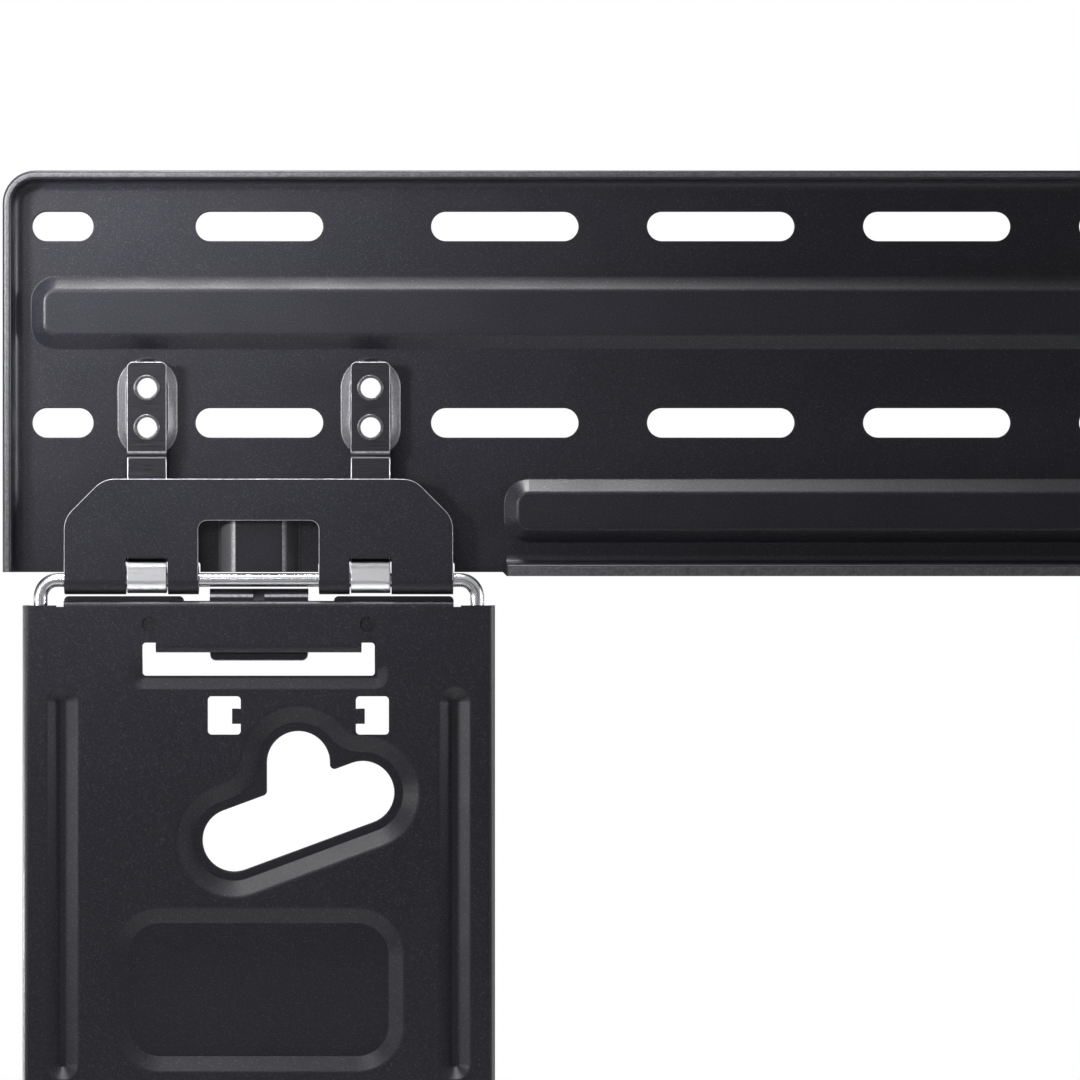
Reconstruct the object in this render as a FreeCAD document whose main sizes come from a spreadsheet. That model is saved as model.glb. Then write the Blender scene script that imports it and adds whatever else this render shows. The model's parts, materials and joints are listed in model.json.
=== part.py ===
import FreeCAD, Part
import math
import os
from FreeCAD import Placement, Rotation, Vector

# Fixed TV wall bracket: a pressed wall plate that carries two hinged arms.
# X runs along the plate, Z is up and the wall is the plane Y = 0, with the viewer at -Y.
# The origin lies on the wall, at the plate's middle, half way between its two slot rows.

# Driving sizes, in millimetres unless a name ends in _deg. A drop is measured downwards.
SIZES = {
    # wall plate
    "arm_place": 200.0,
    "plate_overhang": 65.0,
    "plate_top": 39.0,
    "plate_foot": 63.0,
    "plate_sheet": 2.0,
    "plate_corner": 8.4,
    "rim_depth": 7.5,
    "rim_wall": 2.3,
    "rim_root": 2.7,
    "rim_lip_round": 0.9,
    "foot_rim_gap": 3.0,
    "foot_rim_drop": 1.0,
    "foot_rim_wall": 3.0,
    # slots for the wall screws, in two rows
    "row_half_pitch": 25.0,
    "slot_width": 7.5,
    "slot_pitch": 55.0,
    "slot_bridge": 3.5,
    "slot_edge": 0.25,
    "long_slot": 37.5,
    "middle_slot": 32.5,
    "end_slot": 15.6,
    "end_slot_inset": 15.0,
    # pressed beads of the plate
    "bead_rise": 3.0,
    "bead_flank": 3.5,
    "bead_corner": 6.3,
    "bead_crest": 1.6,
    "bead_root": 0.6,
    "bead_margin": 7.0,
    "upper_bead_top": 12.2,
    "upper_bead_foot": 6.2,
    "lower_bead_gap": 2.4,
    "lower_bead_margin": 7.5,
    "lower_bead_height": 16.2,
    "stiffener_half": 10.3,
    "stiffener_height": 22.0,
    "stiffener_corner": 6.2,
    "stiffener_flank": 4.2,
    "stiffener_root": 1.6,
    # raised pads under the straps
    "pad_rise": 3.6,
    "pad_width": 14.9,
    "pad_height": 25.1,
    "pad_flank": 2.0,
    "pad_crest": 0.7,
    # hinge
    "hinge_gap": 2.0,
    "wire_diameter": 3.5,
    "wire_fit": 0.1,
    "leaf_sheet": 1.8,
    "leaf_height": 25.7,
    "leaf_inset": 10.6,
    "leaf_chamfer": 10.0,
    "leaf_blend": 7.0,
    "leaf_edge": 0.2,
    "leaf_curl_deg": 280.0,
    "notch_width": 30.6,
    "notch_height": 15.1,
    "notch_corner": 2.2,
    "window_height": 5.8,
    "window_play": 0.35,
    "window_corner": 0.4,
    "relief_play": 0.3,
    "relief_height": 2.6,
    "relief_corner": 0.8,
    # straps
    "strap_place": 28.4,
    "strap_width": 10.0,
    "strap_sheet": 1.5,
    "strap_head": 11.6,
    "strap_corner": 1.4,
    "strap_edge": 0.2,
    "strap_step": 1.1,
    "strap_step_gap": 7.3,
    "strap_curl_deg": 270.0,
    "strap_bend": 1.2,
    # eyelets that close the straps on the pads
    "eyelet_pitch": 10.0,
    "eyelet_middle": 21.2,
    "eyelet_bore": 5.15,
    "eyelet_wall": 0.35,
    "eyelet_fit": 0.05,
    "eyelet_ring": 6.6,
    "eyelet_ring_rise": 0.45,
    "eyelet_back": 7.6,
    "eyelet_back_rise": 0.6,
    "eyelet_round": 0.2,
    # arms
    "arm_width": 120.0,
    "arm_length": 136.0,
    "arm_sheet": 1.5,
    "arm_bend": 2.0,
    "arm_corner": 2.5,
    "lip_drop": 5.3,
    "lip_rise": 1.15,
    "lip_inset": 10.5,
    "lip_depth": 2.85,
    "lip_bend": 1.4,
    "lip_relief": 1.9,
    "cut_play": 0.2,
    "dimple_place": 27.7,
    "dimple_below": 6.0,
    "dimple_width": 4.0,
    "dimple_sink": 0.4,
    "boss_width": 5.2,
    "head_slot_half": 29.5,
    "head_height": 10.6,
    "head_slot_height": 8.4,
    "head_slot_corner": 0.9,
    "hem_half": 26.1,
    "hem_height": 2.5,
    "slot_step_sink": 1.0,
    "slot_step_margin": 3.4,
    "slot_step_flank": 2.8,
    "slot_step_crest": 1.5,
    "rib_inset": 10.2,
    "rib_gap": 2.7,
    "rib_foot_margin": 9.0,
    "rib_width": 8.0,
    "rib_sink": 2.4,
    "rib_flank": 3.3,
    "rib_crest": 1.5,
    "panel_inset": 23.0,
    "panel_gap": 17.1,
    "panel_foot_margin": 11.0,
    "panel_corner": 12.0,
    "panel_sink": 2.0,
    "panel_flank": 4.0,
    "panel_crest": 2.0,
    # square windows with a bent tab each
    "square_shift": 10.1,
    "square_place": 18.8,
    "square_width": 8.4,
    "square_gap": 5.2,
    "square_height": 9.75,
    "square_corner": 1.0,
    "tab_reach": 2.2,
    "tab_height": 3.8,
    "tab_below": 5.1,
    "tab_depth": 2.6,
    # keyhole: a round entry over a slanting slot
    "key_radius": 8.0,
    "key_entry_x": 10.05,
    "key_entry_below": 16.9,
    "key_low_x": -6.3,
    "key_low_below": 19.7,
    "key_high_inset": 33.6,
    "key_high_below": 7.6,
    "key_valley": 1.2,
    "key_land": 2.3,
    "key_sink": 2.4,
    "key_flank": 4.3,
    "key_crest": 2.2,
    "key_outer_valley": 6.0,
    "key_edge": 0.3,
    # wire bail
    "leg_inset": 4.5,
    "wire_bend": 4.3,
    "leg_hook": 14.2,
    "foot_turn": 9.0,
    # head bracket behind each arm
    "bracket_sheet": 1.5,
    "tongue_half": 12.5,
    "tongue_gap": 0.45,
    "tongue_drop": 2.4,
    "tongue_corner": 1.6,
    "tongue_edge": 0.25,
    "tongue_bend": 1.0,
    "tongue_shelf": 1.2,
    "dart_half": 2.6,
    "dart_reach": 3.2,
    "dart_depth": 1.9,
    "dart_overlap": 0.3,
    "groove_half": 1.45,
    "groove_foot": 2.4,
    "groove_start": 1.6,
    "groove_floor": 0.3,
    "strip_inner": 19.1,
    "strip_rise": 1.2,
    "strip_corner": 1.2,
    "web_below": 2.7,
    "web_margin": 0.3,
    "wing_below": 3.3,
    "wing_height": 6.6,
    "wing_lead": 1.2,
    "wing_play": 0.6,
    "wing_bend": 1.2,
    "leg_play": 0.05,
}

# Sizes that follow from the driving ones, in the order in which they are worked out.
FORMULAS = {
    "plate_half_length": "arm_place + plate_overhang",
    "rim_back_bend": "rim_root + rim_wall",
    "end_slot_place": "plate_half_length - end_slot_inset",
    "upper_bead_half": "plate_half_length - bead_margin",
    "foot_rim_half": "arm_place - arm_width / 2 - foot_rim_gap",
    "lower_bead_half": "arm_place - arm_width / 2 - lower_bead_gap",
    "lower_bead_foot": "plate_foot - lower_bead_margin",
    "lower_bead_top": "lower_bead_foot - lower_bead_height",
    "stiffener_top": "plate_foot - stiffener_height",
    "hinge_drop": "plate_foot + hinge_gap",
    "leaf_top": "hinge_drop - leaf_height",
    "leaf_width": "arm_width - 2 * leaf_inset",
    "notch_top": "hinge_drop - notch_height",
    "window_top": "hinge_drop - window_height",
    "strap_top": "eyelet_middle - strap_head",
    "strap_step_place": "leaf_top - strap_step_gap",
    "pad_front": "plate_sheet + pad_rise",
    "leaf_back": "pad_front + strap_sheet - strap_step",
    "leaf_front": "leaf_back + leaf_sheet",
    "bore_radius": "wire_diameter / 2 + wire_fit",
    "wire_depth": "leaf_back - bore_radius",
    "arm_back": "wire_depth + wire_diameter / 2 + leg_play",
    "arm_depth": "arm_back + arm_sheet",
    "arm_foot": "hinge_drop + arm_length",
    "lip_top": "hinge_drop + lip_drop",
    "arm_top": "lip_top + lip_rise",
    "lip_half": "arm_width / 2 - lip_inset",
    "dimple_drop": "lip_top + dimple_below",
    "head_slot_top": "lip_top + head_height",
    "head_slot_foot": "head_slot_top + head_slot_height",
    "hem_foot": "head_slot_top + hem_height",
    "rib_place": "arm_width / 2 - rib_inset",
    "rib_top": "head_slot_foot + rib_gap",
    "rib_foot": "arm_foot - rib_foot_margin",
    "square_top": "head_slot_foot + square_gap",
    "tab_middle": "square_top + tab_below",
    "key_entry_drop": "square_top + key_entry_below",
    "key_low_drop": "key_entry_drop + key_low_below",
    "key_high_x": "arm_width / 2 - key_high_inset",
    "key_high_drop": "key_entry_drop + key_high_below",
    "panel_half": "arm_width / 2 - panel_inset",
    "panel_top": "key_low_drop + panel_gap",
    "panel_foot": "arm_foot - panel_foot_margin",
    "leg_place": "arm_width / 2 - leg_inset",
    "leg_foot": "lip_top + leg_hook",
    "foot_end": "leg_place - foot_turn",
    "bracket_front": "arm_depth - lip_depth - leg_play",
    "tongue_top": "hinge_drop + wire_diameter / 2 + tongue_gap",
    "strip_top": "lip_top - strip_rise",
    "web_top": "lip_top + web_below",
    "web_foot": "hem_foot - web_margin",
    "tongue_foot": "web_foot + tongue_drop",
    "wing_top": "lip_top + wing_below",
    "wing_foot": "wing_top + wing_height",
    "wing_half": "arm_width / 2 - arm_sheet - wing_play",
}

doc = FreeCAD.newDocument("tv_wall_bracket")

sheet = doc.addObject("Spreadsheet::Sheet", "Sizes")
for row_number, (size_name, value) in enumerate(SIZES.items(), start=1):
    sheet.set("A%d" % row_number, size_name)
    sheet.set("B%d" % row_number, str(value))
    sheet.setAlias("B%d" % row_number, size_name)
for row_number, (size_name, formula) in enumerate(FORMULAS.items(), start=len(SIZES) + 1):
    sheet.set("A%d" % row_number, size_name)
    sheet.set("B%d" % row_number, "=" + formula)
    sheet.setAlias("B%d" % row_number, size_name)
doc.recompute()


def size(size_name):
    """The value of one named size, as the sheet holds it."""
    return float(sheet.get(size_name))


def new_body(name):
    body = doc.addObject("PartDesign::Body", name)
    body.Label = name
    return body


def add_sketch(body, name, plane, geometry, offset=None):
    """A sketch on one of the body's origin planes, moved along its normal by a sheet formula."""
    sketch = body.newObject("Sketcher::SketchObject", body.Name + "_" + name)
    support = next(item for item in body.Origin.OriginFeatures if item.Role == plane)
    sketch.AttachmentSupport = (support, [""])
    sketch.MapMode = "FlatFace"
    if offset is not None:
        sketch.setExpression("AttachmentOffset.Base.z", offset)
    sketch.addGeometry(geometry, False)
    sketch.Visibility = False
    return sketch


def finish_feature(body, feature, grows):
    """Recomputes a feature and makes sure that it added or removed material."""
    doc.recompute()
    before = feature.BaseFeature.Shape.Volume if feature.BaseFeature else 0.0
    change = feature.Shape.Volume - before
    if (change > 0) != grows or abs(change) < 1e-3:
        raise RuntimeError("%s changed the volume by %.3f" % (feature.Name, change))
    return feature


def pad(body, name, sketch, length, backwards=False, taper=0.0, midplane=False):
    feature = body.newObject("PartDesign::Pad", body.Name + "_" + name)
    feature.Profile = sketch
    feature.setExpression("Length", length)
    feature.Reversed = backwards
    feature.Midplane = midplane
    feature.TaperAngle = -taper
    return finish_feature(body, feature, grows=True)


def pocket(body, name, sketch, length=None, forwards=False, taper=0.0, both_ways=False):
    feature = body.newObject("PartDesign::Pocket", body.Name + "_" + name)
    feature.Profile = sketch
    if length is None:
        feature.Type = "ThroughAll"
    else:
        feature.setExpression("Length", length)
    feature.Reversed = forwards
    feature.Midplane = both_ways
    feature.TaperAngle = -taper
    return finish_feature(body, feature, grows=False)


def edge_names(shape, chosen):
    """Names of the edges of a shape for which chosen(edge) is true."""
    return ["Edge%d" % number for number, edge in enumerate(shape.Edges, start=1) if chosen(edge)]


def round_edges(body, name, radius, chosen):
    base = body.Tip
    names = edge_names(base.Shape, chosen)
    if not names:
        raise RuntimeError("no edges for %s of %s" % (name, body.Name))
    feature = body.newObject("PartDesign::Fillet", body.Name + "_" + name)
    feature.Base = (base, names)
    feature.setExpression("Radius", radius)
    doc.recompute()
    return feature


def chamfer_edges(body, name, width, chosen):
    base = body.Tip
    names = edge_names(base.Shape, chosen)
    if not names:
        raise RuntimeError("no edges for %s of %s" % (name, body.Name))
    feature = body.newObject("PartDesign::Chamfer", body.Name + "_" + name)
    feature.Base = (base, names)
    feature.setExpression("Size", width)
    doc.recompute()
    return feature


def at_depth(depth, tolerance=1e-4):
    """Chooses the edges that lie wholly in the plane Y = -depth."""
    def chosen(edge):
        box = edge.BoundBox
        return abs(box.YMin + depth) < tolerance and abs(box.YMax + depth) < tolerance
    return chosen


def rounded_outline(corners, closed=True):
    """Outline through corners (x, y, radius), as lines and tangent arcs."""
    count = len(corners)
    arcs, arc_starts, arc_ends = [], [], []
    for number, (x, y, radius) in enumerate(corners):
        corner = Vector(x, y, 0)
        to_last = Vector(*corners[number - 1][:2], 0) - corner
        to_next = Vector(*corners[(number + 1) % count][:2], 0) - corner
        to_last.normalize()
        to_next.normalize()
        if radius <= 0:
            arcs.append(None)
            arc_starts.append(corner)
            arc_ends.append(corner)
            continue
        half_angle = to_last.getAngle(to_next) / 2
        reach = radius / math.tan(half_angle)
        inwards = to_last + to_next
        inwards.normalize()
        centre = corner + inwards * (radius / math.sin(half_angle))
        start = corner + to_last * reach
        end = corner + to_next * reach
        arcs.append(Part.Arc(start, centre - inwards * radius, end))
        arc_starts.append(start)
        arc_ends.append(end)
    geometry = []
    for number in range(count):
        following = (number + 1) % count
        if arcs[number] is not None:
            geometry.append(arcs[number])
        if following == 0 and not closed:
            break
        if (arc_ends[number] - arc_starts[following]).Length > 1e-6:
            geometry.append(Part.LineSegment(arc_ends[number], arc_starts[following]))
    return geometry


def rounded_path(corners):
    """Open path through corners (x, y, radius); the radius of both ends is 0."""
    return rounded_outline(corners, closed=False)


def box_outline(left, right, foot, top, radius=0.0):
    return rounded_outline([(left, foot, radius), (right, foot, radius),
                            (right, top, radius), (left, top, radius)])


def slot_outline(x, y, length, width):
    """Slot along X with round ends."""
    radius = width / 2
    reach = length / 2 - radius
    return [
        Part.LineSegment(Vector(x - reach, y + radius, 0), Vector(x + reach, y + radius, 0)),
        Part.Arc(Vector(x + reach, y + radius, 0), Vector(x + reach + radius, y, 0),
                 Vector(x + reach, y - radius, 0)),
        Part.LineSegment(Vector(x + reach, y - radius, 0), Vector(x - reach, y - radius, 0)),
        Part.Arc(Vector(x - reach, y - radius, 0), Vector(x - reach - radius, y, 0),
                 Vector(x - reach, y + radius, 0)),
    ]


def upright_slot_outline(x, y, width, height):
    """Slot along Y with round ends."""
    radius = width / 2
    reach = height / 2 - radius
    return [
        Part.LineSegment(Vector(x + radius, y - reach, 0), Vector(x + radius, y + reach, 0)),
        Part.Arc(Vector(x + radius, y + reach, 0), Vector(x, y + reach + radius, 0),
                 Vector(x - radius, y + reach, 0)),
        Part.LineSegment(Vector(x - radius, y + reach, 0), Vector(x - radius, y - reach, 0)),
        Part.Arc(Vector(x - radius, y - reach, 0), Vector(x, y - reach - radius, 0),
                 Vector(x + radius, y - reach, 0)),
    ]


def strip_outline(start, heading_deg, moves, thickness):
    """Outline of a sheet strip bent along a centre line, seen on its edge.

    A move is ("line", length) or ("bend", centre line radius, angle), where a positive angle
    turns left.
    """
    def side_point(place, heading, side):
        return place + Vector(-math.sin(heading), math.cos(heading), 0) * (side * thickness / 2)

    place = Vector(*start, 0)
    heading = math.radians(heading_deg)
    left, right = [], []
    start_left = side_point(place, heading, 1)
    start_right = side_point(place, heading, -1)
    for move in moves:
        old_left = side_point(place, heading, 1)
        old_right = side_point(place, heading, -1)
        if move[0] == "line":
            place = place + Vector(math.cos(heading), math.sin(heading), 0) * move[1]
            left.append(Part.LineSegment(old_left, side_point(place, heading, 1)))
            right.append(Part.LineSegment(old_right, side_point(place, heading, -1)))
            continue
        radius, angle = move[1], math.radians(move[2])
        turn = math.copysign(1.0, angle)
        centre = place + Vector(-math.sin(heading), math.cos(heading), 0) * (radius * turn)
        points = []
        for share in (0.5, 1.0):
            spoke = Rotation(Vector(0, 0, 1), math.degrees(angle * share)).multVec(place - centre)
            points.append((centre + spoke, heading + angle * share))
        middle, end = points
        left.append(Part.Arc(old_left, side_point(*middle, 1), side_point(*end, 1)))
        right.append(Part.Arc(old_right, side_point(*middle, -1), side_point(*end, -1)))
        place, heading = end
    end_left = side_point(place, heading, 1)
    end_right = side_point(place, heading, -1)
    return left + right + [Part.LineSegment(start_left, start_right), Part.LineSegment(end_left, end_right)]


def joggle(depth, radius):
    """Two equal and opposite bends that move a strip sideways by depth; gives angle and length."""
    angle = math.degrees(math.acos(1 - depth / (2 * radius)))
    return angle, 2 * radius * math.sin(math.radians(angle))


SIDES = {"left": -1, "right": 1}


def plate_outline():
    """Outer outline of the plate, with the deeper foot where the rim runs along it."""
    half, drop = size("plate_half_length"), size("foot_rim_drop")
    foot, rim_half = -size("plate_foot"), size("foot_rim_half")
    corner = size("plate_corner")
    return rounded_outline([
        (-half, foot, 0), (-rim_half - drop, foot, 0), (-rim_half, foot - drop, 0),
        (rim_half, foot - drop, 0), (rim_half + drop, foot, 0), (half, foot, 0),
        (half, size("plate_top"), corner), (-half, size("plate_top"), corner)])


def tray_outline():
    """Inside of the rim: open at the foot beyond the ends of the foot rim."""
    half = size("plate_half_length") - size("rim_wall")
    top = size("plate_top") - size("rim_wall")
    foot = -size("plate_foot") - size("foot_rim_drop")
    corner = size("plate_corner") - size("rim_wall")
    rim_half, below = size("foot_rim_half"), foot - size("rim_depth")
    return rounded_outline([
        (-half, below, 0), (-rim_half, below, 0), (-rim_half, foot + size("foot_rim_wall"), 0),
        (rim_half, foot + size("foot_rim_wall"), 0), (rim_half, below, 0), (half, below, 0),
        (half, top, corner), (-half, top, corner)])


def bead_outlines(shrink):
    """The two long beads, drawn smaller all round by shrink."""
    radius = size("bead_corner") - shrink
    upper = box_outline(-size("upper_bead_half") + shrink, size("upper_bead_half") - shrink,
                        -size("upper_bead_foot") + shrink, size("upper_bead_top") - shrink, radius)
    lower = box_outline(-size("lower_bead_half") + shrink, size("lower_bead_half") - shrink,
                        -size("lower_bead_foot") + shrink, -size("lower_bead_top") - shrink, radius)
    return upper + lower


def stiffener_outlines(shrink):
    """Upright bead behind each leaf's notch, which runs out over the plate's foot."""
    geometry = []
    for side in SIDES.values():
        middle = side * size("arm_place")
        half = size("stiffener_half") - shrink
        geometry += rounded_outline([
            (middle - half, -size("plate_foot") - size("rim_depth"), 0),
            (middle + half, -size("plate_foot") - size("rim_depth"), 0),
            (middle + half, -size("stiffener_top") - shrink, size("stiffener_corner") - shrink),
            (middle - half, -size("stiffener_top") - shrink, size("stiffener_corner") - shrink)])
    return geometry


def strap_places():
    """X of every strap, with its name."""
    places = {}
    for side_name, side in SIDES.items():
        for strap_name, way in (("outer", 1), ("inner", -1)):
            places[side_name + "_" + strap_name] = side * (size("arm_place") + way * size("strap_place"))
    return places


def pad_outlines(shrink):
    geometry = []
    for x in strap_places().values():
        geometry += upright_slot_outline(x, -size("eyelet_middle"), size("pad_width") - 2 * shrink,
                                         size("pad_height") - 2 * shrink)
    return geometry


def wall_slot_outlines():
    geometry = []
    # as many long slots as fit between the plate's middle and the slot above the arm
    room = size("arm_place") - size("middle_slot") / 2 - size("slot_bridge") - size("long_slot") / 2
    count = int(room / size("slot_pitch") + 0.5)
    slots = [(size("slot_pitch") * (number + 0.5), size("long_slot")) for number in range(count)]
    slots += [(size("arm_place"), size("middle_slot")), (size("end_slot_place"), size("end_slot"))]
    for row in (-size("row_half_pitch"), size("row_half_pitch")):
        for side in SIDES.values():
            for place, length in slots:
                geometry += slot_outline(side * place, row, length, size("slot_width"))
    return geometry


def foot_trim_outlines():
    """What the upright beads leave below the plate's unflanged foot."""
    geometry = []
    reach = size("stiffener_half") + size("cut_play")
    for side in SIDES.values():
        middle = side * size("arm_place")
        geometry += box_outline(middle - reach, middle + reach,
                                -size("plate_foot") - 2 * size("rim_depth"), -size("plate_foot"))
    return geometry


def relief_outlines():
    """Openings of the plate's foot behind the leaf's knuckles."""
    geometry = []
    play = size("relief_play")
    inner, outer = size("notch_width") / 2 - play, size("leaf_width") / 2 + play
    top = -size("plate_foot") + size("relief_height")
    for side in SIDES.values():
        for way in (-1, 1):
            middle = side * size("arm_place") + way * (inner + outer) / 2
            half = (outer - inner) / 2
            geometry += rounded_outline([
                (middle - half, -size("plate_foot") - size("rim_depth"), 0),
                (middle + half, -size("plate_foot") - size("rim_depth"), 0),
                (middle + half, top, size("relief_corner")), (middle - half, top, size("relief_corner"))])
    return geometry


def pressed(body, name, outlines, sheet_size, rise, flank):
    """Raises a tapered form on the front of a sheet and hollows the sheet behind it."""
    slope = math.degrees(math.atan(size(flank) / size(rise)))
    # the hollow is narrower, so that the flank keeps about the sheet's thickness
    shrink = size(sheet_size) * math.tan(math.radians(90 - slope) / 2)
    front = add_sketch(body, name + "_front", "XZ_Plane", outlines(0.0), "Sizes." + sheet_size)
    pad(body, name + "_rise", front, "Sizes." + rise, taper=slope)
    back = add_sketch(body, name + "_back", "XZ_Plane", outlines(shrink))
    return pocket(body, name + "_hollow", back, "Sizes." + rise, forwards=True, taper=slope)


def make_wall_plate():
    body = new_body("wall_plate")
    outline = add_sketch(body, "outline", "XZ_Plane", plate_outline())
    pad(body, "block", outline, "Sizes.rim_depth")

    def back_outer(edge):
        box = edge.BoundBox
        flat_half = size("plate_half_length") - size("plate_corner")
        reaches_side = max(abs(box.XMin), abs(box.XMax)) > flat_half - 1e-3
        along_top = box.ZMin > size("plate_top") - size("plate_corner") - 1e-3
        at_foot = box.ZMax < -size("plate_foot") + 1.0
        return at_depth(0.0)(edge) and (reaches_side or along_top) and not at_foot

    round_edges(body, "back_bend", "Sizes.rim_back_bend", back_outer)
    tray = add_sketch(body, "tray", "XZ_Plane", tray_outline(), "Sizes.rim_depth")
    pocket(body, "tray", tray, "Sizes.rim_depth - Sizes.plate_sheet")
    root_depth = size("plate_sheet")

    def root(edge):
        box = edge.BoundBox
        inside_foot = box.ZMin > -size("plate_foot") - size("foot_rim_drop") + size("foot_rim_wall") - 1e-3
        open_foot = abs(box.ZMax - box.ZMin) < 1e-6 and box.ZMin < -size("plate_foot") + 1e-3
        beside = box.ZMax - box.ZMin > 10 and abs(box.XMin) > size("foot_rim_half") + 5
        return at_depth(root_depth)(edge) and (inside_foot or beside) and not open_foot

    round_edges(body, "root_bend", "Sizes.rim_root", root)

    def lip(edge):
        box = edge.BoundBox
        ends = box.ZMax < -size("plate_foot") + 1.0 and box.ZMax - box.ZMin < 3.5
        return at_depth(size("rim_depth"))(edge) and not ends

    round_edges(body, "lip_round", "Sizes.rim_lip_round", lip)
    pressed(body, "beads", bead_outlines, "plate_sheet", "bead_rise", "bead_flank")
    pressed(body, "stiffeners", stiffener_outlines, "plate_sheet", "bead_rise", "stiffener_flank")
    pressed(body, "pads", pad_outlines, "plate_sheet", "pad_rise", "pad_flank")
    foot_trim = add_sketch(body, "foot_trim", "XZ_Plane", foot_trim_outlines())
    pocket(body, "foot_trim", foot_trim, "Sizes.rim_depth", forwards=True)

    def inside_rim(edge):
        box = edge.BoundBox
        return max(-box.XMin, box.XMax) < size("upper_bead_half") + 1e-3 \
            and box.ZMax < size("upper_bead_top") + 1e-3 and box.ZMin > -size("plate_foot") - 1e-3 \
            and box.ZMax > -size("plate_foot") + 1e-3

    def bead_crest(edge):
        return at_depth(size("plate_sheet") + size("bead_rise"))(edge) and inside_rim(edge)

    def pad_crest(edge):
        return at_depth(size("pad_front"))(edge)

    def stiffener_root(edge):
        box = edge.BoundBox
        from_arm = abs(abs(box.XMin + box.XMax) / 2 - size("arm_place"))
        around = from_arm < size("stiffener_half") + 1e-3 and box.ZMax < -size("stiffener_top") + 1e-3
        return at_depth(size("plate_sheet"))(edge) and inside_rim(edge) and around

    def press_root(edge):
        box = edge.BoundBox
        beside_foot_rim = abs(abs(box.XMin) - size("foot_rim_half")) < size("foot_rim_drop") \
            and box.ZMax < -size("lower_bead_foot")
        return at_depth(size("plate_sheet"))(edge) and inside_rim(edge) and not beside_foot_rim \
            and not stiffener_root(edge)

    round_edges(body, "bead_crests", "Sizes.bead_crest", bead_crest)
    round_edges(body, "pad_crests", "Sizes.pad_crest", pad_crest)
    round_edges(body, "press_roots", "Sizes.bead_root", press_root)
    round_edges(body, "stiffener_roots", "Sizes.stiffener_root", stiffener_root)
    slots = add_sketch(body, "slots", "XZ_Plane", wall_slot_outlines())
    pocket(body, "slots", slots, "Sizes.rim_depth", forwards=True)

    def slot_edge(edge):
        box = edge.BoundBox
        middle = (box.ZMin + box.ZMax) / 2
        on_row = abs(abs(middle) - size("row_half_pitch")) < size("slot_width") / 2 + 1e-3
        return at_depth(size("plate_sheet"))(edge) and on_row and box.ZLength < size("slot_width") + 1e-3

    round_edges(body, "slot_edges", "Sizes.slot_edge", slot_edge)
    relief = add_sketch(body, "relief", "XZ_Plane", relief_outlines())
    pocket(body, "relief", relief, "Sizes.rim_depth", forwards=True)
    holes = []
    for x in strap_places().values():
        for way in (-1, 1):
            z = -size("eyelet_middle") + way * size("eyelet_pitch") / 2
            radius = size("eyelet_bore") / 2 + size("eyelet_wall") + size("eyelet_fit")
            holes.append(Part.Circle(Vector(x, z, 0), Vector(0, 0, 1), radius))
    eyelets = add_sketch(body, "eyelet_holes", "XZ_Plane", holes)
    pocket(body, "eyelet_holes", eyelets, "Sizes.rim_depth", forwards=True)
    return body


def make_hinge_leaf(name, side):
    """Leaf on the front of the straps, rolled round the wire along its foot."""
    body = new_body(name)
    thickness = size("leaf_sheet")
    moves = [("line", size("hinge_drop") - size("leaf_top")),
             ("bend", size("bore_radius") + thickness / 2, size("leaf_curl_deg"))]
    start = (-size("leaf_front") + thickness / 2, -size("leaf_top"))
    profile = add_sketch(body, "profile", "YZ_Plane", strip_outline(start, -90, moves, thickness))
    pad(body, "rolled_sheet", profile, "Sizes.leaf_width", midplane=True)
    half = size("leaf_width") / 2
    top = -size("leaf_top")

    def top_corner(edge):
        box = edge.BoundBox
        return box.YLength > thickness - 0.01 and box.ZLength < 1e-6 and abs(box.ZMax - top) < 1e-4

    chamfer_edges(body, "shoulders", "Sizes.leaf_chamfer", top_corner)

    def shoulder_end(edge):
        box = edge.BoundBox
        if box.YLength < thickness - 0.01 or box.XLength > 1e-6 or box.ZLength > 1e-6:
            return False
        at_side = abs(abs(box.XMax) - half) < 1e-4 and abs(box.ZMax - top + size("leaf_chamfer")) < 1e-4
        at_top = abs(abs(box.XMax) - half + size("leaf_chamfer")) < 1e-4 and abs(box.ZMax - top) < 1e-4
        return at_side or at_top

    round_edges(body, "shoulder_blends", "Sizes.leaf_blend", shoulder_end)
    below = -size("hinge_drop") - 2 * (size("bore_radius") + thickness)
    notch = size("notch_width") / 2
    cuts = rounded_outline([
        (-notch, below, 0), (notch, below, 0),
        (notch, -size("notch_top"), size("notch_corner")),
        (-notch, -size("notch_top"), size("notch_corner"))])
    window = size("strap_width") / 2 + size("window_play")
    for way in (-1, 1):
        middle = way * size("strap_place")
        cuts += rounded_outline([
            (middle - window, below, 0), (middle + window, below, 0),
            (middle + window, -size("window_top"), size("window_corner")),
            (middle - window, -size("window_top"), size("window_corner"))])
    openings = add_sketch(body, "openings", "XZ_Plane", cuts)
    pocket(body, "openings", openings, forwards=True)

    def front_edge(edge):
        box = edge.BoundBox
        rolls_away = abs(box.ZMax + size("hinge_drop")) < 1e-4
        from_strap = abs(abs(box.XMin + box.XMax) / 2 - size("strap_place"))
        of_window = from_strap < window + 1e-3 and box.ZMax < -size("window_top") + 1e-3
        return at_depth(size("leaf_front"))(edge) and not rolls_away and not of_window

    round_edges(body, "front_edges", "Sizes.leaf_edge", front_edge)
    body.setExpression("Placement.Base.x", "%d * Sizes.arm_place" % side)
    return body


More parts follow.
